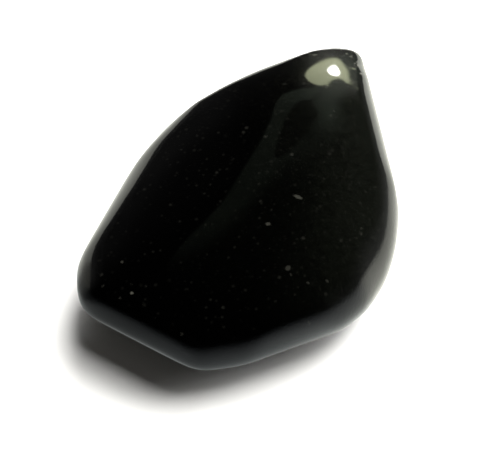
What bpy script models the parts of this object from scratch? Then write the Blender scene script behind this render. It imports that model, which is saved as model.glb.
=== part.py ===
"""Obsidian chunk: one piece of volcanic glass, tumbled smooth.

It is shaped the way the real one was. Flat breaks turn a block of glass into a rough
chunk, chips take its edges round, and tumbling wears it all down to one smooth skin.

Metres, +Z up, +Y towards the pointed end. The origin is under the middle of the stone,
on the surface that it rests on.
"""

import math

import bmesh
import bpy
from mathutils import Vector

NAME = "obsidian_chunk"
MM = 0.001

# Driving dimensions
BLOCK = 60 * MM  # edge of the raw block, larger than the chunk every way
GRAIN = 0.3 * MM  # size of the mesh that is tumbled
WEAR_PASSES = 40  # tumbling passes
WEAR_SHARE = 0.5  # how far each pass moves a point towards its neighbours
CRISP_BEARINGS = (100, 160)  # the back's upper edge, which the tumbling reached least
CRISP_REACH = 1.6 * MM  # how far from that edge the wear is less
CRISP_SHARE = 0.1  # what is left of the wear on the edge itself
TRIANGLES = 9400  # of the finished stone
REST_WEAR = 0.06 * MM  # depth worn off the lowest facet, where the stone lies
CUT_TOLERANCE = 0.0001 * MM

# An edge is taken round by chips at these slopes from level.
CHIP_SLOPES = (22, 45, 68)

# The sides, counter-clockwise from above: the bearing that each faces, in degrees from
# +X, its reach from the axis, and the radii that its upper and lower edges are chipped
# to, in mm.
SIDES = (
    # butt, the blunt end
    (249, 15.45, 2.7, 4.2),
    (268, 13.95, 2.0, 4.2),
    (281, 14.22, 1.6, 4.2),
    (295, 14.05, 2.0, 4.2),
    (309, 12.76, 3.3, 4.2),
    (322, 11.95, 3.1, 4.2),
    # belly, the broad curve on the right
    (331, 12.3, 3.8, 4.0),
    (340, 12.3, 5.0, 3.6),
    (357, 12.25, 5.4, 3.2),
    (9, 12.15, 4.8, 3.2),
    (21, 12.08, 4.4, 4.0),
    (38, 12.0, 3.0, 5.0),
    # tip
    (66, 17.05, 2.0, 5.0),
    (92, 19.25, 1.6, 5.5),
    (104, 17.62, 1.4, 5.5),
    (115, 16.6, 1.4, 5.5),
    (124, 15.18, 1.2, 6.0),
    # back, the long gentle curve on the left
    (133, 13.63, 1.2, 6.0),
    (140, 12.28, 1.2, 6.0),
    (147, 10.93, 1.2, 6.5),
    (154, 10.83, 1.2, 6.0),
    (160, 10.73, 1.4, 6.0),
    (168, 10.75, 2.6, 5.0),
    (175, 10.7, 4.0, 4.5),
    (186, 11.0, 5.0, 3.0),
    (197, 12.6, 5.0, 3.0),
    # heel, the corner between back and butt
    (213, 14.1, 4.2, 3.0),
    (229, 15.22, 3.0, 3.4),
)

# The broad breaks over the top and underneath: the bearing that each faces, its slope
# from level, and its height on the axis in mm.
TOP_BREAKS = (
    (215, 9.0, 9.2),
    (285, 9.5, 9.2),
    (70, 2.0, 9.5),
    (88, 16.0, 12.6),
    (90, 22.0, 14.45),
)
UNDER_BREAKS = (
    (0, 180, 0.0),
    (10, 173, -0.5),
    (100, 174, -0.8),
    (190, 173, -0.5),
    (280, 174, -0.8),
)

# Near-black glass with the gloss that tumbling leaves
GLASS_COLOUR = (0.008, 0.008, 0.007, 1.0)
GLASS_ROUGHNESS = 0.06


def facing(bearing, slope):
    """Outward unit vector of a flat that faces a bearing, sloping that much from level."""
    turn = math.radians(bearing)
    lean = math.radians(slope)
    return Vector((math.sin(lean) * math.cos(turn), math.sin(lean) * math.sin(turn), math.cos(lean)))


def break_height(broad_break, spot):
    """Height of a broad break over a spot in plan."""
    bearing, slope, axis_height = broad_break
    outward = facing(bearing, slope)
    return axis_height * MM - outward.xy.dot(spot.xy) / outward.z


def split_off(chunk, point, outward):
    """Removes all that lies beyond a plane, and closes the break with a flat."""
    everything = chunk.verts[:] + chunk.edges[:] + chunk.faces[:]
    broken = bmesh.ops.bisect_plane(
        chunk,
        geom=everything,
        dist=CUT_TOLERANCE,
        plane_co=point,
        plane_no=outward,
        clear_outer=True,
    )
    rim = [item for item in broken["geom_cut"] if isinstance(item, bmesh.types.BMEdge)]
    if rim:
        bmesh.ops.contextual_create(chunk, geom=rim)


def chip_edge(chunk, bearing, reach, radius, upper):
    """Takes a side's upper or lower edge round, by flats that touch a circle of the radius."""
    centre = facing(bearing, 90) * (reach - radius)
    if upper:
        centre.z = min(break_height(top, centre) for top in TOP_BREAKS) - radius
    else:
        centre.z = max(break_height(under, centre) for under in UNDER_BREAKS) + radius
    for slope in CHIP_SLOPES:
        outward = facing(bearing, slope if upper else 180 - slope)
        split_off(chunk, centre + outward * radius, outward)


def rough_chunk():
    """The block, broken and chipped: the stone as it goes into the tumbler."""
    chunk = bmesh.new()
    bmesh.ops.create_cube(chunk, size=BLOCK)
    for bearing, slope, axis_height in TOP_BREAKS + UNDER_BREAKS:
        split_off(chunk, Vector((0, 0, axis_height * MM)), facing(bearing, slope))
    for bearing, reach, upper_radius, lower_radius in SIDES:
        outward = facing(bearing, 90)
        split_off(chunk, outward * reach * MM, outward)
        chip_edge(chunk, bearing, reach * MM, upper_radius * MM, upper=True)
        chip_edge(chunk, bearing, reach * MM, lower_radius * MM, upper=False)
    mesh = bpy.data.meshes.new("rough_chunk")
    chunk.to_mesh(mesh)
    chunk.free()
    return mesh


def shelter(spot):
    """Share of the full wear that a spot gets: little on the back's upper edge."""
    first, last = CRISP_BEARINGS
    back = [side for side in SIDES if first <= side[0] <= last]
    inward = min(side[1] * MM - facing(side[0], 90).dot(spot) for side in back)
    under = min(break_height(top, spot) for top in TOP_BREAKS) - spot.z
    away = math.hypot(inward, under) / CRISP_REACH
    return CRISP_SHARE + (1 - CRISP_SHARE) * min(1, away)


def apply_modifiers(body):
    """Makes what the body's modifiers do a part of its mesh."""
    before = body.data
    evaluated = body.evaluated_get(bpy.context.evaluated_depsgraph_get())
    body.data = bpy.data.meshes.new_from_object(evaluated)
    body.modifiers.clear()
    bpy.data.meshes.remove(before)


def tumble(rough):
    """Wears the rough chunk: an even skin, passes that ease it, and fewer triangles."""
    body = bpy.data.objects.new("tumbling", rough)
    bpy.context.scene.collection.objects.link(body)
    skin = body.modifiers.new("skin", "REMESH")
    skin.mode = "VOXEL"
    skin.voxel_size = GRAIN
    apply_modifiers(body)
    shares = body.vertex_groups.new(name="shares")
    for vert in body.data.vertices:
        shares.add([vert.index], shelter(vert.co), "REPLACE")
    wear = body.modifiers.new("wear", "SMOOTH")
    wear.factor = WEAR_SHARE
    wear.iterations = WEAR_PASSES
    wear.vertex_group = shares.name
    thin = body.modifiers.new("thin", "DECIMATE")
    thin.ratio = TRIANGLES / (2 * len(body.data.polygons))
    apply_modifiers(body)
    mesh = body.data
    bpy.data.objects.remove(body, do_unlink=True)
    return mesh


def set_down(mesh):
    """Wears the facet underneath flat, and moves the stone to stand on the origin."""
    stone = bmesh.new()
    stone.from_mesh(mesh)
    rest = min(vert.co.z for vert in stone.verts) + REST_WEAR
    split_off(stone, Vector((0, 0, rest)), Vector((0, 0, -1)))
    across = [vert.co.x for vert in stone.verts]
    along = [vert.co.y for vert in stone.verts]
    middle = Vector(((min(across) + max(across)) / 2, (min(along) + max(along)) / 2, rest))
    bmesh.ops.translate(stone, verts=stone.verts, vec=-middle)
    stone.to_mesh(mesh)
    stone.free()
    mesh.shade_smooth()


def volcanic_glass():
    glass = bpy.data.materials.new("volcanic_glass")
    glass.use_nodes = True
    shader = glass.node_tree.nodes["Principled BSDF"]
    shader.inputs["Base Color"].default_value = GLASS_COLOUR
    shader.inputs["Roughness"].default_value = GLASS_ROUGHNESS
    shader.inputs["Metallic"].default_value = 0.0
    glass.diffuse_color = GLASS_COLOUR
    return glass


def main():
    for old in list(bpy.data.objects):
        bpy.data.objects.remove(old, do_unlink=True)
    mesh = tumble(rough_chunk())
    mesh.name = NAME
    set_down(mesh)
    mesh.materials.clear()
    mesh.materials.append(volcanic_glass())
    collection = bpy.data.collections.new(NAME)
    bpy.context.scene.collection.children.link(collection)
    collection.objects.link(bpy.data.objects.new(NAME, mesh))


main()
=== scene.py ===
# %% [markdown]
# # A tumbled chunk of obsidian
#
# Obsidian is lava that cooled to glass before it could grow crystals. This piece was
# broken off as a chunk and then tumbled in grit until every edge was round and the
# whole skin took a high polish. It is one solid, so it is one object here too.
#
# The fixed frame comes first. It holds the measured solid, and everything that
# follows is placed in its coordinates: metres, +Z up, +Y towards the pointed end.

# %% Load the fixed frame
import math

import bmesh
import bpy
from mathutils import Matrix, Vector


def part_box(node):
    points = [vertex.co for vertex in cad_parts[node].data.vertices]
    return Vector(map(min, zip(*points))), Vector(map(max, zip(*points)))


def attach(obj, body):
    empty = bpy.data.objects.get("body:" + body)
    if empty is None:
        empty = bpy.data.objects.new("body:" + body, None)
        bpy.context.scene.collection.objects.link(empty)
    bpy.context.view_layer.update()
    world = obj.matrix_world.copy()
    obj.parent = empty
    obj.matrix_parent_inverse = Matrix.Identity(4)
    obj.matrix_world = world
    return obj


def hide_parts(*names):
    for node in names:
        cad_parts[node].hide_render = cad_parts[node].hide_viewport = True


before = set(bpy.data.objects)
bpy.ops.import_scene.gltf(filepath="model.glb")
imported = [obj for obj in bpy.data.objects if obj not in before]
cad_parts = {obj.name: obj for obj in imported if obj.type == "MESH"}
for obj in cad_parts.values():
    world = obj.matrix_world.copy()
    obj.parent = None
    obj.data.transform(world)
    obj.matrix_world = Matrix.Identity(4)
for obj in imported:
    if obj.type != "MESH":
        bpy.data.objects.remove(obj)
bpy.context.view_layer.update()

MM = 0.001
NODE = "obsidian_chunk"

# %% [markdown]
# ## The camera
#
# A small glossy thing is best seen from well above and from a little to one side, so
# that the top face, the tip and two of the sides all show. A long lens from a short
# way off keeps its proportions true. The camera could be aimed with a Track To
# constraint, but turning a known direction into a rotation leaves nothing live behind.

# %% Camera
VIEW_AZIMUTH = math.radians(29)
VIEW_ELEVATION = math.radians(54)
VIEW_DISTANCE = 160 * MM
VIEW_TARGET = Vector((0.33, -3.83, 5.45)) * MM
SENSOR_WIDTH = 36.0
LENS = 144.0
NEAREST_SEEN = 1 * MM
FARTHEST_SEEN = 100

AWAY = Vector((-math.sin(VIEW_AZIMUTH), math.cos(VIEW_AZIMUTH), 0))
RIGHT = Vector((math.cos(VIEW_AZIMUTH), math.sin(VIEW_AZIMUTH), 0))
UP = Vector((0, 0, 1))


def direction(bearing, elevation):
    """Unit vector, from a bearing in degrees left of RIGHT and a height in degrees."""
    turn = math.radians(bearing)
    rise = math.radians(elevation)
    level = RIGHT * math.cos(turn) + AWAY * math.sin(turn)
    return level * math.cos(rise) + UP * math.sin(rise)


looking = direction(90, -math.degrees(VIEW_ELEVATION))
camera = bpy.data.objects.new("camera", bpy.data.cameras.new("camera"))
camera.data.sensor_width = SENSOR_WIDTH
camera.data.lens = LENS
camera.data.clip_start = NEAREST_SEEN
camera.data.clip_end = FARTHEST_SEEN
camera.location = VIEW_TARGET - looking * VIEW_DISTANCE
camera.rotation_euler = looking.to_track_quat("-Z", "Y").to_euler()
bpy.context.scene.collection.objects.link(camera)
bpy.context.scene.camera = camera
print("camera at, mm:", [round(value / MM, 1) for value in camera.location])

# %% [markdown]
# ## Two helpers
#
# Colours are picked as sRGB hex values, the way a colour picker shows them, while
# shaders work in linear light. One function turns the one into the other. The second
# helper adds any node to any tree, with its settings and whatever feeds it.

# %% Helpers for colours and nodes
def linear(hex_colour, strength=1.0):
    """A linear RGBA colour from an sRGB hex value such as 8a8f7c."""
    channels = [int(hex_colour[start : start + 2], 16) / 255 for start in (0, 2, 4)]
    for index, value in enumerate(channels):
        dark = value / 12.92
        light = ((value + 0.055) / 1.055) ** 2.4
        channels[index] = strength * (dark if value <= 0.04045 else light)
    return (*channels, 1.0)


def add_node(tree, kind, inputs=None, **settings):
    """Adds a node. An input is a number, a colour, or the socket or node that feeds it."""
    made = tree.nodes.new("ShaderNode" + kind)
    for name, value in settings.items():
        setattr(made, name, value)
    for name, value in (inputs or {}).items():
        if isinstance(value, bpy.types.Node):
            value = next(output for output in value.outputs if output.enabled)
        if isinstance(value, bpy.types.NodeSocket):
            tree.links.new(value, made.inputs[name])
        else:
            made.inputs[name].default_value = value
    return made


print("pale grey in linear light:", [round(value, 3) for value in linear("c8c8c8")])

# %% [markdown]
# ## The polished skin
#
# The solid is drawn in facets up to 1 mm across. A mirror polish would show every one
# of them as a kink in the reflections. A Subdivision Surface would keep the facets'
# layout as faint ripples, so the skin is remeshed instead: an even grid of 0.2 mm
# voxels, which is then smoothed as a tumbler does it. Grit wears a broad face into one
# gentle swell, while an edge that it hardly reaches stays crisp.

# %% Remesh the solid
SKIN_GRAIN = 0.2 * MM
WELD = 0.001 * MM
EVEN_SMOOTHING = 0.5
FAIRING_PASSES = 6


def apply_modifiers(piece):
    """Makes what the piece's modifiers do a part of its mesh."""
    before = piece.data
    evaluated = piece.evaluated_get(bpy.context.evaluated_depsgraph_get())
    piece.data = bpy.data.meshes.new_from_object(evaluated)
    piece.modifiers.clear()
    bpy.data.meshes.remove(before)


solid = bmesh.new()
solid.from_mesh(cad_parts[NODE].data)
bmesh.ops.remove_doubles(solid, verts=solid.verts, dist=WELD)
solid_copy = bpy.data.meshes.new("obsidian_skin")
solid.to_mesh(solid_copy)
solid.free()
stone = bpy.data.objects.new("polished_stone", solid_copy)
bpy.context.scene.collection.objects.link(stone)
grid = stone.modifiers.new("grid", "REMESH")
grid.mode = "VOXEL"
grid.voxel_size = SKIN_GRAIN
fairing = stone.modifiers.new("fairing", "SMOOTH")
fairing.factor = EVEN_SMOOTHING
fairing.iterations = FAIRING_PASSES
apply_modifiers(stone)
print("skin faces:", len(stone.data.polygons))

# %% [markdown]
# Which parts get how much polish could be painted by hand. Here it is read from the way
# the skin faces, so it fits the stone by itself. A broad face is nearly level, so it
# gets the long polish. The crisp edge is where the skin turns from level to upright
# along the back, so there it gets hardly any.

# %% Polish the skin
# Bearings from +X and tilts from level, all in degrees.
CRISP_BEARINGS = (95, 165)
CRISP_FADE = 12
CRISP_SHARE = 0.25
RIM_STARTS = (18, 32)
RIM_ENDS = (88, 70)
BROAD_ENDS = (25, 18)
POLISH_PASSES = 34
BROAD_PASSES = 420


def ramp(value, start, end):
    """0 at start and before it, 1 at end and after it, and even between them."""
    return min(1.0, max(0.0, (value - start) / (end - start)))


polish_group = stone.vertex_groups.new(name="polish")
broad_group = stone.vertex_groups.new(name="broad")
for vert in stone.data.vertices:
    facing = vert.normal
    tilt = math.degrees(math.acos(max(-1.0, min(1.0, facing.z))))
    bearing = math.degrees(math.atan2(facing.y, facing.x)) % 360
    first, last = CRISP_BEARINGS
    back_here = ramp(bearing, first - CRISP_FADE, first) * ramp(bearing, last + CRISP_FADE, last)
    rim_here = ramp(tilt, *RIM_STARTS) * ramp(tilt, *RIM_ENDS)
    polish_group.add([vert.index], 1 - (1 - CRISP_SHARE) * back_here * rim_here, "REPLACE")
    broad_group.add([vert.index], ramp(tilt, *BROAD_ENDS), "REPLACE")

for name, passes in (("polish", POLISH_PASSES), ("broad", BROAD_PASSES)):
    wear = stone.modifiers.new(name, "SMOOTH")
    wear.factor = EVEN_SMOOTHING
    wear.iterations = passes
    wear.vertex_group = name
apply_modifiers(stone)
stone.vertex_groups.clear()
print("polished faces:", len(stone.data.polygons))

# %% [markdown]
# Polishing takes a little off, as it does on the real stone. A Shrinkwrap modifier
# would bring the facets back with the size, so the skin is stretched to the measured
# box instead, by less than a hundredth.

# %% Stretch the skin to the solid's box
skin = bmesh.new()
skin.from_mesh(stone.data)
low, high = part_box(NODE)
lowest = Vector([min(vert.co[axis] for vert in skin.verts) for axis in range(3)])
highest = Vector([max(vert.co[axis] for vert in skin.verts) for axis in range(3)])
stretch = Vector([(high[axis] - low[axis]) / (highest[axis] - lowest[axis]) for axis in range(3)])
bmesh.ops.translate(skin, verts=skin.verts, vec=-lowest)
bmesh.ops.scale(skin, verts=skin.verts, vec=stretch)
bmesh.ops.translate(skin, verts=skin.verts, vec=low)
print("stretched by:", [round(value, 4) for value in stretch])

# %% [markdown]
# A broken stone keeps a little of its first unevenness. The far left rim bows out by a
# quarter of a millimetre, the very tip by about half of that, and the tip's right
# corner is worn back a little. Such places could be sculpted with a Grab brush. Here
# each is a soft push sideways that dies away inwards, so the top face stays smooth.

# %% Uneven places on the rim
RIM_PUSHES = (
    # across, along, bearing from +X in degrees, how far out, half width, reach inwards, in mm
    (-6.0, 9.1, 134, 0.235, 3.25, 4.0),
    (-1.5, 15.2, 112, 0.14, 1.8, 4.5),
    (0.6, 14.8, 60, -0.07, 1.0, 3.0),
)


def push(place, rim_push):
    """How far a place on the skin moves, as a vector in metres."""
    x, y, bearing, out, half_width, reach = rim_push
    turn = math.radians(bearing)
    outwards = Vector((math.cos(turn), math.sin(turn), 0))
    offset = place - Vector((x, y, 0)) * MM
    depth = offset.dot(outwards) / MM
    sideways = offset.cross(outwards).z / MM
    fade = ramp(depth, -reach, 0)
    fade = fade * fade * (3 - 2 * fade)
    return outwards * (out * MM * fade * math.exp(-((sideways / half_width) ** 2)))


for vert in skin.verts:
    vert.co += sum((push(vert.co, rim_push) for rim_push in RIM_PUSHES), Vector())
skin.to_mesh(stone.data)
skin.free()
stone.data.shade_smooth()
print("pushed places:", len(RIM_PUSHES))

# %% [markdown]
# A loose stone moves as one body, so its skin rides on the root. The solid could stay
# inside the skin, but its facets would come through here and there, so the skin
# replaces it.

# %% What the skin rides on, and what it replaces
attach(stone, "root")
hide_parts(NODE)
print("dressed:", NODE)

# %% [markdown]
# ## Polished volcanic glass
#
# Obsidian owes its black to iron oxide as fine as dust all through the glass. Light
# that goes in doesn't come out, so nearly all that the eye gets is the reflection from
# the polish: faint where the skin faces you, and strong near the edges, where the
# glass is seen at a slant. That is a Principled shader with an almost black base, a
# glass-like IOR and a low roughness. Its specular level stays below the middle, because
# a tumbler's polish is never as clean as a lens's. Handling leaves hairlines too fine
# to see, which spread a faint haze round every highlight. A thin, rougher coat gives
# that haze.
#
# What isn't black is partly painted reflection and partly the glass's own: a dim olive
# reflection painted over the right half of the top, a grey streak of reflection painted
# along the ridges of the top, and pale grains. All of these read Object coordinates, so
# they stay where they are in the stone.

# %% The glass and its coordinates
GLASS_IOR = 1.49
GLASS_SPECULAR = 0.3
HAIRLINE_COAT = 0.07
HAIRLINE_ROUGHNESS = 0.3
glass = bpy.data.materials.new("polished_volcanic_glass")
glass.use_nodes = True
tree = glass.node_tree
shader = tree.nodes["Principled BSDF"]
shader.inputs["Metallic"].default_value = 0.0
shader.inputs["IOR"].default_value = GLASS_IOR
shader.inputs["Specular IOR Level"].default_value = GLASS_SPECULAR
shader.inputs["Coat Weight"].default_value = HAIRLINE_COAT
shader.inputs["Coat Roughness"].default_value = HAIRLINE_ROUGHNESS
stone.data.materials.clear()
stone.data.materials.append(glass)

coordinates = add_node(tree, "TexCoord")
here = coordinates.outputs["Object"]
place_in_stone = add_node(tree, "SeparateXYZ", {0: here})
across = place_in_stone.outputs["X"]
lengthwise = place_in_stone.outputs["Y"]
facing_up = add_node(tree, "SeparateXYZ", {0: coordinates.outputs["Normal"]}).outputs["Z"]
print("material:", glass.name)

# %% [markdown]
# ### The painted streak of reflection
#
# The streak is painted reflection: a long grey Y along the ridges of the top, running
# down from the lamp's highlight, with a dark teardrop between its arms. Its edges
# wander, so each is drawn as a curve: how far across the stone the edge lies at each
# place along it. A Float Curve node holds such a curve in a square from 0 to 1, so
# places in millimetres are turned into shares of the stone's length and breadth.

# %% Helpers that draw along the stone
BAND_LENGTH = 13 * MM
BAND_BREADTH = 4 * MM
along_share = add_node(
    tree,
    "MapRange",
    {"Value": lengthwise, "From Min": -BAND_LENGTH, "From Max": BAND_LENGTH},
)


def share(value, reach):
    """Where a value between minus reach and reach lies, from 0 to 1."""
    return (value + reach) / (2 * reach)


def course(places):
    """What changes all along the stone, drawn through (along in mm, level from 0 to 1)."""
    drawn = add_node(tree, "FloatCurve", {"Value": along_share})
    curve = drawn.mapping.curves[0]
    curve.points[0].location = (0, places[0][1])
    curve.points[1].location = (1, places[-1][1])
    for along, level in places:
        point = curve.points.new(share(along * MM, BAND_LENGTH), level)
        point.handle_type = "AUTO_CLAMPED"
    drawn.mapping.update()
    return drawn


def outline(places):
    """Where an outline lies across the stone, all along it, from (along, across) in mm."""
    drawn = course([(along, share(side * MM, BAND_BREADTH)) for along, side in places])
    return add_node(
        tree, "MapRange", {"Value": drawn, "To Min": -BAND_BREADTH, "To Max": BAND_BREADTH}
    )


def beyond(edge, softness):
    """0 on the left of an edge and 1 on its right, over a soft width in mm."""
    past = add_node(tree, "Math", {0: across, 1: edge}, operation="SUBTRACT")
    half = softness / 2 * MM
    limits = {"Value": past, "From Min": -half, "From Max": half}
    return add_node(tree, "MapRange", limits, interpolation_type="SMOOTHSTEP")


print("the band is drawn over, mm:", round(2 * BAND_LENGTH / MM, 1))

# %% Outlines of the painted streak
LEFT_EDGE = (
    # along, across, in mm
    (-12.0, -2.95),
    (-8.9, -2.75),
    (-6.2, -2.15),
    (-3.6, -1.8),
    (-0.9, -1.85),
    (1.9, -1.95),
    (4.3, -2.3),
    (6.8, -2.8),
    (7.7, -2.45),
    (8.7, -1.65),
    (9.5, -0.9),
)
RIGHT_EDGE = (
    # along, across, in mm
    (-12.0, -2.8),
    (-9.8, -1.9),
    (-6.2, -0.5),
    (-2.1, 0.4),
    (2.5, 1.9),
    (5.9, 2.9),
    (8.0, 1.9),
    (9.5, 1.2),
)
left_edge = outline(LEFT_EDGE)
right_edge = outline(RIGHT_EDGE)
print("places on the band's edges:", len(LEFT_EDGE), len(RIGHT_EDGE))

# %% Outlines of the dark teardrop between the arms
GAP_LEFT = ((0.4, 0.6), (1.1, -0.15), (3.2, -0.9), (6.4, -1.4), (7.3, -1.2), (8.3, -0.4))
GAP_RIGHT = ((0.4, -0.4), (1.5, 0.4), (3.2, 0.8), (5.0, 0.95), (6.6, 0.85), (8.2, -0.3))
gap_left = outline(GAP_LEFT)
gap_right = outline(GAP_RIGHT)
print("places on the teardrop's edges:", len(GAP_LEFT), len(GAP_RIGHT))

# %% [markdown]
# The left edge of the painted streak is crisp, while the right one melts into the
# painted reflection on the right half. Each edge becomes a step from 0 to 1 across the
# stone, as sharp as it really is, and what lies between two edges is the one step less
# the other.

# %% The painted streak between its outlines
GAP_SOFTNESS = (0.4, 0.7)
BAND_SOFTNESS = (0.3, 2.2)
in_gap = add_node(
    tree,
    "Math",
    {0: beyond(gap_left, GAP_SOFTNESS[0]), 1: beyond(gap_right, GAP_SOFTNESS[1])},
    operation="SUBTRACT",
    use_clamp=True,
)
in_reach = add_node(
    tree,
    "Math",
    {0: beyond(left_edge, BAND_SOFTNESS[0]), 1: beyond(right_edge, BAND_SOFTNESS[1])},
    operation="SUBTRACT",
    use_clamp=True,
)
in_painted_streak = add_node(tree, "Math", {0: in_reach, 1: in_gap}, operation="SUBTRACT", use_clamp=True)
print("soft edges, mm:", *BAND_SOFTNESS, *GAP_SOFTNESS)

# %% [markdown]
# The painted streak is strongest at the tip, by the lamp's highlight, and fades towards
# the blunt end. Its right arm is the fainter one until it comes near the tip, where it
# is the brighter one. A soft noise of about 2 mm makes the streak a little patchy.

# %% How strong the painted streak is
PAINTED_STREAK_LEVELS = (
    # along in mm, share of the band's grey
    (-12.5, 0.0),
    (-8.9, 0.1),
    (-5.6, 0.14),
    (0.2, 0.14),
    (4.0, 0.18),
    (7.0, 0.28),
    (9.0, 0.4),
)
PATCH_SIZE = 2.0 * MM
PATCH_LEVELS = {"To Min": 0.5, "To Max": 1.5}
RIGHT_ARM = {"From Min": 0, "From Max": 1.6 * MM}
NEAR_TIP = {"From Min": 4.5 * MM, "From Max": 8.5 * MM, "To Min": -0.45, "To Max": 0.9}
painted_streak_level = course(PAINTED_STREAK_LEVELS)
streak_noise = add_node(tree, "TexNoise", {"Vector": here, "Scale": 1 / PATCH_SIZE, "Detail": 2.0})
patchiness = add_node(tree, "MapRange", {"Value": streak_noise, **PATCH_LEVELS})
right_arm = add_node(
    tree, "MapRange", {"Value": across, **RIGHT_ARM}, interpolation_type="SMOOTHSTEP"
)
near_tip = add_node(
    tree, "MapRange", {"Value": lengthwise, **NEAR_TIP}, interpolation_type="SMOOTHSTEP"
)
brighter = add_node(tree, "Math", {0: right_arm, 1: near_tip, 2: 1.0}, operation="MULTIPLY_ADD")
# Painted reflection: the grey streak along the ridges of the top, with its strength and patches.
painted_streak = add_node(tree, "Math", {0: in_painted_streak, 1: painted_streak_level}, operation="MULTIPLY")
painted_streak = add_node(tree, "Math", {0: painted_streak, 1: patchiness}, operation="MULTIPLY")
painted_streak = add_node(tree, "Math", {0: painted_streak, 1: brighter}, operation="MULTIPLY")
print("strongest band level:", max(level for along, level in PAINTED_STREAK_LEVELS))

# %% [markdown]
# A dim olive reflection is painted over the right half of the top. It starts at the
# streak's left edge and grows stronger to the right of it. It also grows from the blunt
# end to the middle of the stone, and spreads wider at the tip. A finer noise of half a
# millimetre mottles it.

# %% The painted reflection on the right half
SHEEN_SLANT = (1.0, 0.22, 0.0)
SHEEN_EDGE_SOFTNESS = 0.8
SHEEN_ALONG = {"From Min": -16 * MM, "From Max": 2 * MM}
SHEEN_ACROSS = {"From Min": 1 * MM, "From Max": 9 * MM, "To Min": 0.2}
WIDER_AT_TIP = {"From Min": 4 * MM, "From Max": 9 * MM, "To Max": 3 * MM}
SHEEN_MOTTLE_SIZE = 0.5 * MM
SHEEN_MOTTLE_LEVELS = {"From Min": 0.3, "From Max": 0.7, "To Min": 0.55, "To Max": 1.45}
sheen_along = add_node(
    tree, "MapRange", {"Value": lengthwise, **SHEEN_ALONG}, interpolation_type="SMOOTHSTEP"
)
sheen_side = add_node(tree, "VectorMath", {0: here, 1: SHEEN_SLANT}, operation="DOT_PRODUCT")
wider_at_tip = add_node(
    tree, "MapRange", {"Value": lengthwise, **WIDER_AT_TIP}, interpolation_type="SMOOTHSTEP"
)
sheen_reach = add_node(tree, "Math", {0: sheen_side, 1: wider_at_tip}, operation="ADD")
sheen_across = add_node(
    tree, "MapRange", {"Value": sheen_reach, **SHEEN_ACROSS}, interpolation_type="SMOOTHSTEP"
)
past_left_edge = beyond(left_edge, SHEEN_EDGE_SOFTNESS)
# Painted reflection: where the dim olive lies over the right half of the top.
right_half_sheen = add_node(tree, "Math", {0: past_left_edge, 1: sheen_along}, operation="MULTIPLY")
right_half_sheen = add_node(tree, "Math", {0: right_half_sheen, 1: sheen_across}, operation="MULTIPLY")
sheen_mottle = add_node(
    tree, "TexNoise", {"Vector": here, "Scale": 1 / SHEEN_MOTTLE_SIZE, "Detail": 3.0, "Roughness": 0.7}
)
sheen_mottling = add_node(tree, "MapRange", {"Value": sheen_mottle, **SHEEN_MOTTLE_LEVELS})
right_half_sheen = add_node(tree, "Math", {0: right_half_sheen, 1: sheen_mottling}, operation="MULTIPLY")
print("nodes in the glass so far:", len(tree.nodes))

# %% [markdown]
# All three colours are near-black: the glass itself is black, the painted reflection on
# the right half is a dark olive, and the painted streak is a cool grey. Two Mix nodes
# lay them over each other, with the two painted masks as their factors.

# %% Colours of the glass
BLACK_GLASS = linear("010101", 0.1)
# Painted reflection: the dim olive over the right half of the top.
RIGHT_HALF_SHEEN_OLIVE = linear("131510", 0.29)
# Painted reflection: the grey of the streak along the ridges of the top.
PAINTED_STREAK_GREY = linear("232822", 0.36)
with_right_half_sheen = add_node(
    tree,
    "Mix",
    {"Factor": right_half_sheen, "A": BLACK_GLASS, "B": RIGHT_HALF_SHEEN_OLIVE},
    data_type="RGBA",
)
with_painted_streak = add_node(
    tree,
    "Mix",
    {"Factor": painted_streak, "A": with_right_half_sheen, "B": PAINTED_STREAK_GREY},
    data_type="RGBA",
)
# The colour of the painted reflection on the right half, in linear light.
print("smoky glass in linear light:", [round(value, 4) for value in RIGHT_HALF_SHEEN_OLIVE])

# %% [markdown]
# ### Pale grains
#
# Obsidian is full of crystals that had just begun to grow, a tenth to a quarter of a
# millimetre wide. Modelled one by one they would be thousands of tiny balls, so a
# Voronoi texture scatters them: each of its cells has one middle point, and the
# distance from it gives a round grain. The cell's random colour says how bright that
# grain is, and a high power of it leaves most of them faint.

# %% Grains and dust in the glass
GRAINS = (
    # how far apart, radius, brightest, power
    (0.9 * MM, 0.19 * MM, 0.012, 4.5),
    (0.5 * MM, 0.15 * MM, 0.005, 3.0),
)
# A grain's light fades between these shares of its radius.
GRAIN_FADE = (0.1, 1.2)
grain_light = None
for spacing, radius, brightest, power in GRAINS:
    cells = add_node(tree, "TexVoronoi", {"Vector": here, "Scale": 1 / spacing})
    reach = radius / spacing
    inside = add_node(
        tree,
        "MapRange",
        {
            "Value": cells.outputs["Distance"],
            "From Min": GRAIN_FADE[0] * reach,
            "From Max": GRAIN_FADE[1] * reach,
            "To Min": brightest,
            "To Max": 0.0,
        },
        interpolation_type="SMOOTHSTEP",
    )
    luck = add_node(tree, "SeparateColor", {"Color": cells.outputs["Color"]}).outputs["Red"]
    luck = add_node(tree, "Math", {0: luck, 1: power}, operation="POWER")
    light = add_node(tree, "Math", {0: inside, 1: luck}, operation="MULTIPLY")
    if grain_light:
        light = add_node(tree, "Math", {0: light, 1: grain_light}, operation="MAXIMUM")
    grain_light = light
print("kinds of grain:", len(GRAINS))

# %% [markdown]
# Under the painted reflection on the right half, the grains are more crowded and softer.

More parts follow.
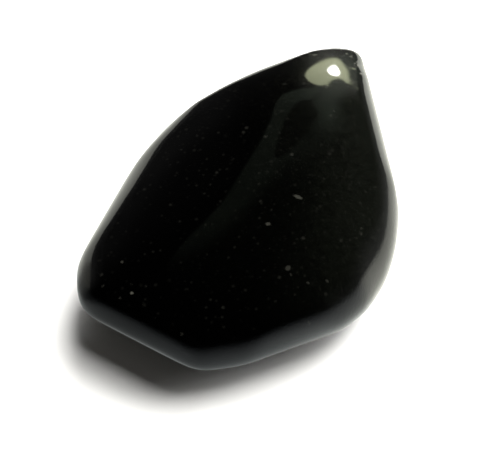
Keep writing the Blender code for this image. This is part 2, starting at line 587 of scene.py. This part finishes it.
# %% Deeper grains
DEEP_SPACING = 0.5 * MM
DEEP_RADIUS = 0.16 * MM
DEEP_LIGHT = 0.012
DEEP_POWER = 2.5
deep_cells = add_node(tree, "TexVoronoi", {"Vector": here, "Scale": 1 / DEEP_SPACING})
deep_grains = add_node(
    tree,
    "MapRange",
    {
        "Value": deep_cells.outputs["Distance"],
        "From Max": DEEP_RADIUS / DEEP_SPACING,
        "To Min": DEEP_LIGHT,
        "To Max": 0.0,
    },
    interpolation_type="SMOOTHSTEP",
)
deep_luck = add_node(tree, "SeparateColor", {"Color": deep_cells.outputs["Color"]})
deep_luck = add_node(
    tree, "Math", {0: deep_luck.outputs["Green"], 1: DEEP_POWER}, operation="POWER"
)
deep_light = add_node(tree, "Math", {0: deep_grains, 1: deep_luck}, operation="MULTIPLY")
deep_light = add_node(tree, "Math", {0: deep_light, 1: right_half_sheen}, operation="MULTIPLY")
grain_light = add_node(tree, "Math", {0: deep_light, 1: grain_light}, operation="MAXIMUM")
print("deeper grains, mm apart:", round(DEEP_SPACING / MM, 2))

# %% [markdown]
# A few inclusions are large enough to tell apart. Each is an ellipsoid just under the
# skin: a Mapping node of the Texture type moves, turns and scales the space so that
# the ellipsoid becomes a ball of radius 1. A fine noise makes their outlines uneven.
# The four largest frosted chips on the rim of the tip look the same, so they are drawn
# with them.

# %% Larger inclusions
INCLUSIONS = (
    # across, along, height, half length and half width in mm, turn, brightness
    (3.28, -1.35, 9.12, 0.4, 0.16, 4, 0.03),
    (2.32, -4.52, 8.68, 0.21, 0.16, 30, 0.026),
    (5.5, -7.09, 8.09, 0.25, 0.23, 60, 0.017),
    (5.95, -7.45, 8.0, 0.16, 0.1, -30, 0.009),
    (-4.22, -14.43, 7.16, 0.16, 0.13, 0, 0.055),
    (-6.3, -12.45, 7.43, 0.15, 0.12, 0, 0.02),
    (-4.91, -15.1, 6.83, 0.14, 0.11, 20, 0.011),
    (-6.63, -14.8, 6.88, 0.14, 0.11, 80, 0.011),
    (0.85, -15.5, 6.58, 0.15, 0.12, 0, 0.014),
    (8.62, -9.37, 5.68, 0.15, 0.12, 0, 0.013),
    (8.56, -6.4, 7.59, 0.14, 0.12, 0, 0.011),
    (7.42, -7.4, 7.78, 0.15, 0.11, 0, 0.011),
    (1.7, 7.79, 9.11, 0.12, 0.11, 0, 0.008),
    (-3.24, 8.38, 9.06, 0.15, 0.12, 40, 0.009),
    (-2.22, 5.12, 9.27, 0.12, 0.1, 0, 0.004),
    (4.28, 1.13, 9.26, 0.13, 0.12, 0, 0.004),
    (7.68, 0.79, 8.68, 0.12, 0.11, 0, 0.004),
)
LARGEST_CHIPS = (
    # the same measures
    (-2.83, 13.09, 8.17, 0.3, 0.13, 50, 0.03),
    (-0.81, 14.98, 7.53, 0.15, 0.12, 50, 0.04),
    (-0.31, 14.84, 7.57, 0.18, 0.12, 30, 0.04),
    (0.67, 14.19, 7.76, 0.26, 0.14, -60, 0.05),
)
HALF_DEPTH = 0.4
INCLUSION_EDGE = {"From Min": 0.5, "From Max": 1.2}
print("larger inclusions:", len(INCLUSIONS), "and chips:", len(LARGEST_CHIPS))

# %% Lay the inclusions in the glass
RAGGED_SIZE = 0.25 * MM
RAGGEDNESS = 0.12 * MM
NOISE_MIDDLE = Vector((RAGGEDNESS / 2,) * 3)
ragged = add_node(tree, "TexNoise", {"Vector": here, "Scale": 1 / RAGGED_SIZE})
uneven_here = add_node(
    tree,
    "VectorMath",
    {0: ragged.outputs["Color"], 1: (RAGGEDNESS,) * 3, 2: here},
    operation="MULTIPLY_ADD",
)
for x, y, z, half_length, half_width, turn, brightness in INCLUSIONS + LARGEST_CHIPS:
    fitted = add_node(
        tree,
        "Mapping",
        {
            "Vector": uneven_here,
            "Location": Vector((x, y, z)) * MM + NOISE_MIDDLE,
            "Rotation": (0, 0, math.radians(turn)),
            "Scale": (half_length * MM, half_width * MM, HALF_DEPTH * MM),
        },
        vector_type="TEXTURE",
    )
    from_middle = add_node(tree, "VectorMath", {0: fitted}, operation="LENGTH")
    inside = add_node(
        tree,
        "MapRange",
        {"Value": from_middle, **INCLUSION_EDGE, "To Min": brightness, "To Max": 0.0},
        interpolation_type="SMOOTHSTEP",
    )
    grain_light = add_node(tree, "Math", {0: inside, 1: grain_light}, operation="MAXIMUM")
print("nodes in the glass so far:", len(tree.nodes))

# %% [markdown]
# ### Wear
#
# The tip takes the knocks. Its rim has lost tiny chips, which show frosted and pale
# because a broken face scatters light. The small ones are a noise, kept to the last
# millimetres of the tip and to where the skin turns from level to upright.

# %% Chips on the rim of the tip
CHIP_SIZE = 0.42 * MM
CHIP_LIGHT = 0.05
CHIPPED = {"From Min": 0.56, "From Max": 0.72}
AT_THE_TIP = {"From Min": 11.5 * MM, "From Max": 13.5 * MM}
OVER_THE_RIM = {"From Min": 0.96, "From Max": 0.9}
ABOVE_THE_SIDE = {"From Min": 0.3, "From Max": 0.55}
on_the_tip = add_node(tree, "MapRange", {"Value": lengthwise, **AT_THE_TIP})
on_the_rim = add_node(
    tree, "MapRange", {"Value": facing_up, **OVER_THE_RIM}, interpolation_type="SMOOTHSTEP"
)
not_the_side = add_node(
    tree, "MapRange", {"Value": facing_up, **ABOVE_THE_SIDE}, interpolation_type="SMOOTHSTEP"
)
chip_noise = add_node(
    tree, "TexNoise", {"Vector": here, "Scale": 1 / CHIP_SIZE, "Detail": 2.0, "Roughness": 0.6}
)
chipped = add_node(
    tree, "MapRange", {"Value": chip_noise, **CHIPPED}, interpolation_type="SMOOTHSTEP"
)
chips = add_node(tree, "Math", {0: chipped, 1: on_the_tip}, operation="MULTIPLY")
chips = add_node(tree, "Math", {0: chips, 1: on_the_rim}, operation="MULTIPLY")
chips = add_node(tree, "Math", {0: chips, 1: not_the_side}, operation="MULTIPLY")
chip_light = add_node(tree, "Math", {0: chips, 1: CHIP_LIGHT}, operation="MULTIPLY")
grain_light = add_node(tree, "Math", {0: grain_light, 1: chip_light}, operation="MAXIMUM")
print("chips, mm:", round(CHIP_SIZE / MM, 2))

# %% [markdown]
# Crystals and broken glass are both pale, some a little greener and some warmer. Their
# light is added to the dark glass, because they scatter what reaches them on top of
# what the glass gives back.

# %% Lay the grains and chips over the glass
GREENISH = linear("c9cdb9")
WARM = linear("d8d2c0")
TINT_SIZE = 1.5 * MM
tint_noise = add_node(tree, "TexNoise", {"Vector": here, "Scale": 1 / TINT_SIZE})
tint = add_node(
    tree,
    "Mix",
    {"Factor": tint_noise.outputs["Fac"], "A": GREENISH, "B": WARM},
    data_type="RGBA",
)
grains = add_node(
    tree, "VectorMath", {0: tint.outputs["Result"], "Scale": grain_light}, operation="SCALE"
)
grainy = add_node(
    tree, "Mix", {"Factor": 1.0, "A": with_painted_streak, "B": grains}, data_type="RGBA", blend_type="ADD"
)
tree.links.new(grainy.outputs["Result"], shader.inputs["Base Color"])
print("nodes behind the colour:", len(tree.nodes))

# %% [markdown]
# The tumbler reaches the broad faces best, and fingers leave their polish a little
# uneven, in patches of about 3 mm. The rounded sides keep the fine pits of the last
# grit, so they are a little rougher and their reflections sparkle.

# %% Roughness
SIDE_ROUGHNESS = 0.11
TOP_ROUGHNESS = 0.045
CHIP_ROUGHNESS = 0.4
DOWN_THE_SIDE = {"From Min": 0.9, "From Max": 0.4}
SMEAR_SIZE = 3 * MM
SMEAR_LEVELS = {"To Min": 0.5 * TOP_ROUGHNESS, "To Max": 1.5 * TOP_ROUGHNESS}
on_the_side = add_node(
    tree, "MapRange", {"Value": facing_up, **DOWN_THE_SIDE}, interpolation_type="SMOOTHSTEP"
)
smear = add_node(tree, "TexNoise", {"Vector": here, "Scale": 1 / SMEAR_SIZE, "Detail": 3.0})
smear_roughness = add_node(tree, "MapRange", {"Value": smear, **SMEAR_LEVELS})
roughness = add_node(
    tree, "Mix", {"Factor": on_the_side, "A": smear_roughness, "B": SIDE_ROUGHNESS}
)
roughness = add_node(tree, "Mix", {"Factor": chips, "A": roughness, "B": CHIP_ROUGHNESS})
tree.links.new(roughness.outputs["Result"], shader.inputs["Roughness"])
print("roughness on top and on the side:", TOP_ROUGHNESS, SIDE_ROUGHNESS)

# %% [markdown]
# Real pits of the last grit are a few hundredths of a millimetre wide, too fine to
# show, so they are drawn coarser, at 0.16 mm. They are bump and not geometry, because
# they only turn the light.

# %% Pits
PIT_SIZE = 0.16 * MM
PIT_DEPTH = 0.02 * MM
PIT_LEVELS = {"To Min": 0.04, "To Max": 1.0}
pit_noise = add_node(
    tree, "TexNoise", {"Vector": here, "Scale": 1 / PIT_SIZE, "Detail": 2.0, "Roughness": 0.6}
)
pit_share = add_node(tree, "MapRange", {"Value": on_the_side, **PIT_LEVELS})
pits = add_node(
    tree, "Bump", {"Strength": pit_share, "Distance": PIT_DEPTH, "Height": pit_noise}
)
tree.links.new(pits.outputs["Normal"], shader.inputs["Normal"])
print("nodes in the glass:", len(tree.nodes))

# %% [markdown]
# ## White paper
#
# The stone lies on a sheet of plain white paper. It is a disc far larger than the view,
# so that no edge or corner of it shows from any side. Paper scatters light evenly, so
# it is fully rough, with no gloss.

# %% White paper
FLOOR_RADIUS = 4.0
FLOOR_SEGMENTS = 96
FLOOR_DROP = 0.01 * MM
PAPER_WHITE = linear("f2f1ee")

sheet = bmesh.new()
bmesh.ops.create_circle(sheet, cap_ends=True, segments=FLOOR_SEGMENTS, radius=FLOOR_RADIUS)
bmesh.ops.translate(sheet, verts=sheet.verts, vec=(0, 0, -FLOOR_DROP))
floor_mesh = bpy.data.meshes.new("paper_floor")
sheet.to_mesh(floor_mesh)
sheet.free()
floor = bpy.data.objects.new("paper_floor", floor_mesh)
bpy.context.scene.collection.objects.link(floor)
paper = bpy.data.materials.new("uncoated_white_paper")
paper.use_nodes = True
floor_mesh.materials.append(paper)
paper_tree = paper.node_tree
paper_shader = paper_tree.nodes["Principled BSDF"]
paper_shader.inputs["Base Color"].default_value = PAPER_WHITE
paper_shader.inputs["Roughness"].default_value = 1.0
paper_shader.inputs["Specular IOR Level"].default_value = 0.0
print("paper, m across:", 2 * FLOOR_RADIUS)

# %% [markdown]
# A polished stone shows its surroundings, and most of what it shows at its rims is the
# paper. Whoever stands before a small stone keeps the light off the near side of the
# paper, so there the mirrored paper darkens with distance. It darkens to the left too,
# and it is dark off the left corner, where the corner of the stone stays black. Real
# things round the stone would do this. They would also darken the paper itself, so the
# paper gets a second look that only a mirrored ray meets.

# %% Helpers for how light lies on the mirrored paper
spot = add_node(paper_tree, "TexCoord").outputs["Object"]


def falling_light(axis, full, fall):
    """1 up to a place along an axis, and less and less the further back from there."""
    along = add_node(paper_tree, "VectorMath", {0: spot, 1: axis}, operation="DOT_PRODUCT")
    short = add_node(paper_tree, "Math", {0: along, 1: full}, operation="SUBTRACT")
    falls = add_node(paper_tree, "Math", {0: short, 1: fall}, operation="DIVIDE")
    falls = add_node(paper_tree, "Math", {0: falls, 1: 0.0}, operation="MINIMUM")
    return add_node(paper_tree, "Math", {0: math.e, 1: falls}, operation="POWER")


def rising_light(axis, dark_at, full_at, least):
    """From a least level up to 1 between two places along an axis."""
    along = add_node(paper_tree, "VectorMath", {0: spot, 1: axis}, operation="DOT_PRODUCT")
    limits = {"Value": along, "From Min": dark_at, "From Max": full_at, "To Min": least}
    return add_node(paper_tree, "MapRange", limits, interpolation_type="SMOOTHSTEP")


print("nodes in the paper so far:", len(paper_tree.nodes))

# %% Where the mirrored paper is darker
NEAR_SLANT = 0.2
NEAR_FULL_AT = -5 * MM
NEAR_FALL = 10 * MM
LEFT_FULL_AT = -9 * MM
LEFT_FALL = 5 * MM
LEFT_LEAST = 0.45
CORNER_AXIS = Vector((0.065, 1, 0))
CORNER_ENDS = (-14.2 * MM, -12.2 * MM)
CORNER_LEAST = 0.3
CORNER_REACH = (-17 * MM, -10 * MM)
near_light = falling_light(AWAY + RIGHT * NEAR_SLANT, NEAR_FULL_AT, NEAR_FALL)
left_light = add_node(
    paper_tree,
    "MapRange",
    {"Value": falling_light(RIGHT, LEFT_FULL_AT, LEFT_FALL), "To Min": LEFT_LEAST},
)
corner_light = add_node(
    paper_tree,
    "Math",
    {
        0: rising_light(CORNER_AXIS, *CORNER_ENDS, CORNER_LEAST),
        1: rising_light(Vector((1, 0, 0)), *CORNER_REACH, 0.0),
    },
    operation="MAXIMUM",
)
mirrored = add_node(paper_tree, "Math", {0: near_light, 1: left_light}, operation="MULTIPLY")
mirrored = add_node(paper_tree, "Math", {0: mirrored, 1: corner_light}, operation="MULTIPLY")
print("least light, on the left and off the corner:", LEFT_LEAST, CORNER_LEAST)

# %% [markdown]
# White paper in the light is a little warm, and paper in the shade takes up the blue of
# the sky. Part of the mirrored light is what falls on the paper, so it dies in the
# stone's own shadow. The rest is an even glow: paper in strong light is brighter than
# the white of a screen, and a polish that gives back a small share of it shows the
# difference. It could be had with brighter lamps, but then the paper itself would
# glare. A Light Path node tells a mirrored ray from the others, so the paper stays
# plain.

# %% The paper as the polish mirrors it
SHADED_TINT = linear("e4eff4")
LIT_TINT = linear("f1f2e7")
MIRRORED_SHARE = 0.75
MIRRORED_GLOW = 0.9
paper_tint = add_node(
    paper_tree,
    "Mix",
    {"Factor": near_light, "A": SHADED_TINT, "B": LIT_TINT},
    data_type="RGBA",
)
dimmed = add_node(
    paper_tree,
    "VectorMath",
    {0: paper_tint.outputs["Result"], "Scale": mirrored},
    operation="SCALE",
)
lit_colour = add_node(
    paper_tree, "VectorMath", {0: dimmed, "Scale": MIRRORED_SHARE}, operation="SCALE"
)
lit_part = add_node(paper_tree, "BsdfDiffuse", {"Color": lit_colour})
even_part = add_node(paper_tree, "Emission", {"Color": dimmed, "Strength": MIRRORED_GLOW})
in_mirror = add_node(paper_tree, "AddShader", {0: lit_part, 1: even_part})
paper_paths = add_node(paper_tree, "LightPath")
paper_or_mirrored = add_node(
    paper_tree,
    "MixShader",
    {0: paper_paths.outputs["Is Glossy Ray"], 1: paper_shader, 2: in_mirror},
)
paper_tree.links.new(
    paper_or_mirrored.outputs[0], paper_tree.nodes["Material Output"].inputs["Surface"]
)
print("nodes in the paper:", len(paper_tree.nodes))

# %% [markdown]
# ## Studio light
#
# Two soft lights come over the far right corner: a broad one from above, and an even
# broader, lower one that opens up the shadow. A Sun lamp with a wide angle gives such
# light with very little noise. Neither shows in the polish, which mirrors a lamp and
# a room of its own.

# %% Soft lights
SOFT_LIGHTS = (
    # name, bearing, elevation, spread in degrees, strength
    ("soft_key", 46, 55.4, 50, 5.6),
    ("low_window", 46, 20, 88, 9.4),
)
for name, bearing, elevation, spread, strength in SOFT_LIGHTS:
    lamp = bpy.data.objects.new(name, bpy.data.lights.new(name, "SUN"))
    lamp.rotation_euler = (-direction(bearing, elevation)).to_track_quat("-Z", "Y").to_euler()
    lamp.data.energy = strength
    lamp.data.angle = math.radians(spread)
    lamp.visible_glossy = False
    bpy.context.scene.collection.objects.link(lamp)
print("soft lights:", len(SOFT_LIGHTS))

# %% [markdown]
# The one clear highlight is a table lamp: an olive shade with the bare bulb before it
# and its round foot cutting into it from below. A modelled lamp would be seen in other
# views and would cast light and shadows of its own. So it is a flat card that only
# mirrored rays can see, and clear where nothing glows.

# %% The lamp that the polish mirrors
LAMP_BEARING = 79.2
LAMP_ELEVATION = 26.0
LAMP_DISTANCE = 200 * MM
CARD_RADIUS = 110 * MM
CARD_SEGMENTS = 48

towards_lamp = direction(LAMP_BEARING, LAMP_ELEVATION)
card_mesh = bpy.data.meshes.new("lamp_card")
disc = bmesh.new()
bmesh.ops.create_circle(disc, cap_ends=True, segments=CARD_SEGMENTS, radius=CARD_RADIUS)
facing_stone = (-towards_lamp).to_track_quat("Z", "Y").to_matrix()
bmesh.ops.rotate(disc, verts=disc.verts, matrix=facing_stone)
bmesh.ops.translate(disc, verts=disc.verts, vec=towards_lamp * LAMP_DISTANCE)
disc.to_mesh(card_mesh)
disc.free()
card = bpy.data.objects.new("lamp_card", card_mesh)
bpy.context.scene.collection.objects.link(card)
card.visible_camera = False
card.visible_diffuse = False
card.visible_transmission = False
card.visible_shadow = False
print("lamp at, mm:", [round(value / MM, 1) for value in towards_lamp * LAMP_DISTANCE])

# %% [markdown]
# The shapes on the card are measured in degrees from its middle, as the stone sees
# them. They are soft-edged ellipses, and the shade is also cut straight on its far
# side.

# %% The card's material, and a helper for its shapes
DEGREE = LAMP_DISTANCE * math.radians(1)
card_right = towards_lamp.cross(UP).normalized()
card_down = towards_lamp.cross(card_right).normalized()
card_glow = bpy.data.materials.new("lamp_behind_a_shade")
card_glow.use_nodes = True
card_mesh.materials.append(card_glow)
card_tree = card_glow.node_tree
on_card = add_node(card_tree, "TexCoord").outputs["Object"]
card_places = [
    add_node(card_tree, "VectorMath", {0: on_card, 1: axis / DEGREE}, operation="DOT_PRODUCT")
    for axis in (card_right, card_down)
]
card_place = add_node(card_tree, "CombineXYZ", {0: card_places[0], 1: card_places[1]})


def ellipse_on_card(middle, half_sizes, slant, softness):
    """1 inside an ellipse on the card and 0 outside, with a soft edge."""
    fitted = add_node(
        card_tree,
        "Mapping",
        {
            "Vector": card_place,
            "Location": (*middle, 0),
            "Rotation": (0, 0, math.radians(slant)),
            "Scale": (*half_sizes, 1),
        },
        vector_type="TEXTURE",
    )
    reach = add_node(card_tree, "VectorMath", {0: fitted}, operation="LENGTH")
    limits = {
        "Value": reach,
        "From Min": 1 - softness,
        "From Max": 1 + softness,
        "To Min": 1.0,
        "To Max": 0.0,
    }
    return add_node(card_tree, "MapRange", limits, interpolation_type="SMOOTHSTEP")


print("a degree on the card, mm:", round(DEGREE / MM, 2))

# %% The lamp's shapes
LAMP_SHAPES = {
    # middle, half sizes, slant, all in degrees, and softness of the edge as a share
    "shade": ((1.24, -0.19), (4.49, 9.8), -17.1, 0.08),
    "hem of the shade": ((-1.4, -7.0), (2.2, 4.5), 0, 0.08),
    "foot": ((3.58, -7.15), (2.0, 8.29), -10.3, 0.12),
    "bulb": ((3.0, 3.4), (1.35, 2.7), -10, 0.15),
    "haze": ((2.0, 0), (5.5, 17), -8, 0.5),
}
# Which way the shade's far side lies, and where it ends, in degrees.
FAR_SIDE = (0.919, 0.394, 0)
FAR_SIDE_ENDS = {"From Min": 8.5, "From Max": 8.1}
shade, hem, foot, bulb, haze = [ellipse_on_card(*shape) for shape in LAMP_SHAPES.values()]
whole_shade = add_node(card_tree, "Math", {0: shade, 1: hem}, operation="MAXIMUM")
open_shade = add_node(
    card_tree, "Math", {0: whole_shade, 1: foot}, operation="SUBTRACT", use_clamp=True
)
to_far_side = add_node(
    card_tree, "VectorMath", {0: card_place, 1: FAR_SIDE}, operation="DOT_PRODUCT"
)
near_side = add_node(
    card_tree, "MapRange", {"Value": to_far_side, **FAR_SIDE_ENDS}, interpolation_type="SMOOTHSTEP"
)
open_shade = add_node(card_tree, "Math", {0: open_shade, 1: near_side}, operation="MULTIPLY")
print("shapes on the card:", ", ".join(LAMP_SHAPES))

# %% [markdown]
# The bare bulb is far brighter than the shade round it, and the hairlines in the polish
# spread a faint haze round both. Mix nodes lay one light over the other, and the haze
# is added to them. The glow is added to a Transparent shader, because the room has to
# show where nothing glows.

# %% The lamp's light
NO_LIGHT = linear("000000")
SHADE_LIGHT = linear("dfe5bb", 8.0)
BULB_LIGHT = linear("fffef4", 60.0)
HAZE_LIGHT = linear("dfe3d8", 0.6)
shade_light = add_node(
    card_tree,
    "Mix",
    {"Factor": open_shade, "A": NO_LIGHT, "B": SHADE_LIGHT},
    data_type="RGBA",
)
bulb_light = add_node(
    card_tree,
    "Mix",
    {"Factor": bulb, "A": shade_light, "B": BULB_LIGHT},
    data_type="RGBA",
)
hazy_light = add_node(
    card_tree,
    "Mix",
    {"Factor": haze, "A": bulb_light, "B": HAZE_LIGHT},
    data_type="RGBA",
    blend_type="ADD",
)
lamp_glow = add_node(card_tree, "Emission", {"Color": hazy_light})
see_through = add_node(card_tree, "BsdfTransparent")
lamp_and_room = add_node(card_tree, "AddShader", {0: lamp_glow, 1: see_through})
card_tree.links.new(
    lamp_and_room.outputs[0], card_tree.nodes["Material Output"].inputs["Surface"]
)
print("nodes on the card:", len(card_tree.nodes))

# %% [markdown]
# The rest of what the polish mirrors is a dim room: a bright window low on the right,
# a paler wall at the back, a curtain higher on the left, and a dark ceiling. It could
# be built of cards too, but a world that changes with direction is simpler and throws
# no shadows.

# %% The room that the polish mirrors
WINDOW_BEARING = 12
WINDOW_GLOW = 0.6
WINDOW_NARROWNESS = 8.0
WALL_GLOW = 0.13
CEILING_GLOW = 0.005
CURTAIN = direction(128, 34)
CURTAIN_GLOW = 0.09
CURTAIN_NARROWNESS = 40.0
UPWARD_FADE = 2.0
WALL_ENDS = {"From Min": -0.2, "From Max": 0.5, "To Max": WALL_GLOW}

world = bpy.data.worlds.new("studio")
bpy.context.scene.world = world
world.use_nodes = True
air = world.node_tree
towards = add_node(air, "TexCoord").outputs["Generated"]
elevation_sine = add_node(air, "SeparateXYZ", {0: towards}).outputs["Z"]
to_window = add_node(
    air, "VectorMath", {0: towards, 1: direction(WINDOW_BEARING, 0)}, operation="DOT_PRODUCT"
)
to_window = add_node(air, "Math", {0: to_window, 1: 0.0}, operation="MAXIMUM")
window = add_node(air, "Math", {0: to_window, 1: WINDOW_NARROWNESS}, operation="POWER")
window = add_node(air, "Math", {0: window, 1: WINDOW_GLOW}, operation="MULTIPLY")
to_wall = add_node(air, "VectorMath", {0: towards, 1: AWAY}, operation="DOT_PRODUCT")
wall = add_node(
    air, "MapRange", {"Value": to_wall, **WALL_ENDS}, interpolation_type="SMOOTHSTEP"
)
low_light = add_node(air, "Math", {0: window, 1: wall}, operation="ADD")
print("window glow:", WINDOW_GLOW, "wall glow:", WALL_GLOW)

# %% The curtain and the dark ceiling
upward = add_node(air, "Math", {0: 1.0, 1: elevation_sine}, operation="SUBTRACT", use_clamp=True)
upward = add_node(air, "Math", {0: upward, 1: UPWARD_FADE}, operation="POWER")
to_curtain = add_node(air, "VectorMath", {0: towards, 1: CURTAIN}, operation="DOT_PRODUCT")
to_curtain = add_node(air, "Math", {0: to_curtain, 1: 0.0}, operation="MAXIMUM")
curtain = add_node(air, "Math", {0: to_curtain, 1: CURTAIN_NARROWNESS}, operation="POWER")
high_light = add_node(
    air, "Math", {0: curtain, 1: CURTAIN_GLOW, 2: CEILING_GLOW}, operation="MULTIPLY_ADD"
)
mirrored_room = add_node(
    air, "Math", {0: low_light, 1: upward, 2: high_light}, operation="MULTIPLY_ADD"
)
print("curtain glow:", CURTAIN_GLOW, "ceiling glow:", CEILING_GLOW)

# %% [markdown]
# Rays from the camera see a clean white backdrop, mirrored rays see the room, and all
# others an even grey fill, which is what the white walls of a studio give back.

# %% The world for each kind of ray
FILL = linear("42413f")
BACKDROP = linear("ffffff")
world_paths = add_node(air, "LightPath")
unseen = add_node(
    air,
    "Mix",
    {"Factor": world_paths.outputs["Is Glossy Ray"], "A": FILL, "B": mirrored_room},
    data_type="RGBA",
)
seen = add_node(
    air,
    "Mix",
    {"Factor": world_paths.outputs["Is Camera Ray"], "A": unseen, "B": BACKDROP},
    data_type="RGBA",
)
air.links.new(seen.outputs["Result"], air.nodes["Background"].inputs["Color"])
bpy.context.scene.view_settings.view_transform = "Standard"
print("nodes in the world:", len(air.nodes))
